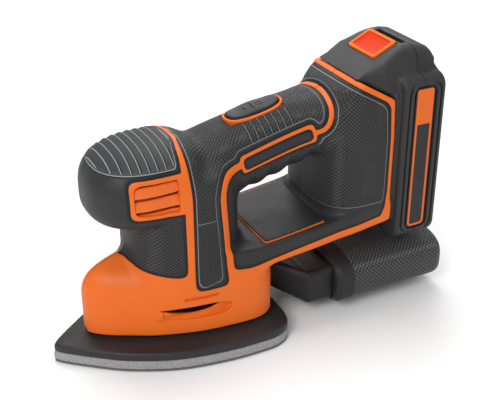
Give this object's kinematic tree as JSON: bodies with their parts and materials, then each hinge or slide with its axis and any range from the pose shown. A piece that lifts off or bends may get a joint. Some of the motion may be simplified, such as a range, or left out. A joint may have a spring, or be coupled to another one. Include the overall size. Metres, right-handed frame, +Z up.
{
  "type": "detail sander",
  "caption": "Cordless detail sander with a pointed orbiting sole, rounded front grip, D-shaped handle, rear slide-on battery and a dust canister behind the sole.",
  "frame": {"origin": "on the motor's axis, in the plane of the sanding sheet's face, 80 mm behind the sole's tip", "axes": "+Z up out of the work, -X towards the sole's tip, +X towards the battery, +Y towards the right-hand side of the tool seen from behind"},
  "size_m": [0.252, 0.0968, 0.1664],
  "materials": {
    "housing_moulding": "fine-textured moulding",
    "orange_trim": "satin",
    "soft_grip": "soft, finely textured",
    "black_moulding": "moulded",
    "circuit_board": "solder mask",
    "red_insulation": "smooth",
    "black_insulation": "smooth",
    "bright_steel": "machined",
    "copper": "machined",
    "rubber": "dull",
    "nozzle_black": "satin moulding",
    "canister_charcoal": "cross-hatched texture",
    "filter_cloth": "pleated cloth",
    "platen_charcoal": "moulded",
    "grey_foam": "closed-cell foam",
    "abrasive_sheet": "grit on cloth",
    "pack_charcoal": "fine-textured moulding",
    "cell_sleeve": "shrink sleeve"
  },
  "bodies": {
    "housing": {"housing_left": "housing_moulding", "housing_right": "housing_moulding", "knob_cap": "soft_grip", "vent_grille_left": "orange_trim", "vent_grille_right": "orange_trim", "switch_bezel": "orange_trim", "switch_module": "black_moulding", "control_board": "circuit_board", "terminal_block": "black_moulding", "lead_red": "red_insulation", "lead_black": "black_insulation", "motor_lead_red": "red_insulation", "motor_lead_black": "black_insulation", "motor_can": "bright_steel", "magnet_front": "black_moulding", "magnet_rear": "black_moulding", "motor_end_cap": "black_moulding", "brush_front": "black_moulding", "brush_rear": "black_moulding", "motor_bearing_lower": "bright_steel", "motor_bearing_upper": "bright_steel", "support_post_1": "rubber", "support_post_2": "rubber", "support_post_3": "rubber", "support_post_4": "rubber", "dust_shroud": "rubber", "dust_nozzle": "nozzle_black", "housing_screw_1": "bright_steel", "housing_screw_2": "bright_steel", "housing_screw_3": "bright_steel", "housing_screw_4": "bright_steel", "housing_screw_5": "bright_steel", "housing_screw_6": "bright_steel", "housing_screw_7": "bright_steel"},
    "rotor": {"armature": "bright_steel", "commutator": "copper", "motor_shaft": "bright_steel", "fan": "black_moulding", "eccentric_weight": "bright_steel"},
    "sole": {"platen": "platen_charcoal", "foam_pad": "grey_foam", "sanding_sheet": "abrasive_sheet", "platen_bearing": "bright_steel", "bearing_retainer": "bright_steel"},
    "rocker": {"switch_rocker": "soft_grip"},
    "dust_box": {"canister_collar": "canister_charcoal", "filter_sleeve": "filter_cloth"},
    "canister": {"dust_canister": "canister_charcoal"},
    "battery": {"pack_case_front": "pack_charcoal", "pack_case_rear": "pack_charcoal", "cell_1": "cell_sleeve", "cell_2": "cell_sleeve", "cell_3": "cell_sleeve", "cell_4": "cell_sleeve", "cell_5": "cell_sleeve", "cell_holder": "black_moulding", "pack_board": "circuit_board", "button_spring": "bright_steel"},
    "button": {"release_button": "orange_trim"}
  },
  "joints": [
    {"name": "drive_spin", "type": "hinge", "parent": "housing", "child": "rotor", "pos_m": [0, 0, 0.03], "axis": [0, 0, 1], "continuous": true},
    {"name": "sole_orbit", "type": "hinge", "parent": "rotor", "child": "sole", "pos_m": [0.001, 0, 0.018], "axis": [0, 0, 1], "continuous": true},
    {"name": "switch_rock", "type": "hinge", "parent": "housing", "child": "rocker", "pos_m": [0.0505, 0, 0.1344], "axis": [0, 1, 0], "range_deg": [-4, 4]},
    {"name": "dust_box_slide", "type": "slide", "parent": "housing", "child": "dust_box", "axis": [1, 0, 0], "range_m": [0, 0.04]},
    {"name": "canister_slide", "type": "slide", "parent": "dust_box", "child": "canister", "axis": [1, 0, 0], "range_m": [0, 0.05]},
    {"name": "battery_slide", "type": "slide", "parent": "housing", "child": "battery", "axis": [0, 0, 1], "range_m": [0, 0.09]},
    {"name": "button_press", "type": "slide", "parent": "battery", "child": "button", "axis": [0.4067, 0, -0.9135], "range_m": [0, 0.003], "stiffness_N_per_m": 800, "springref_m": -0.002, "deforming": ["button_spring"]}
  ],
  "couplings": [
    {"joint": "sole_orbit", "follows": "drive_spin", "ratio": -1}
  ]
}
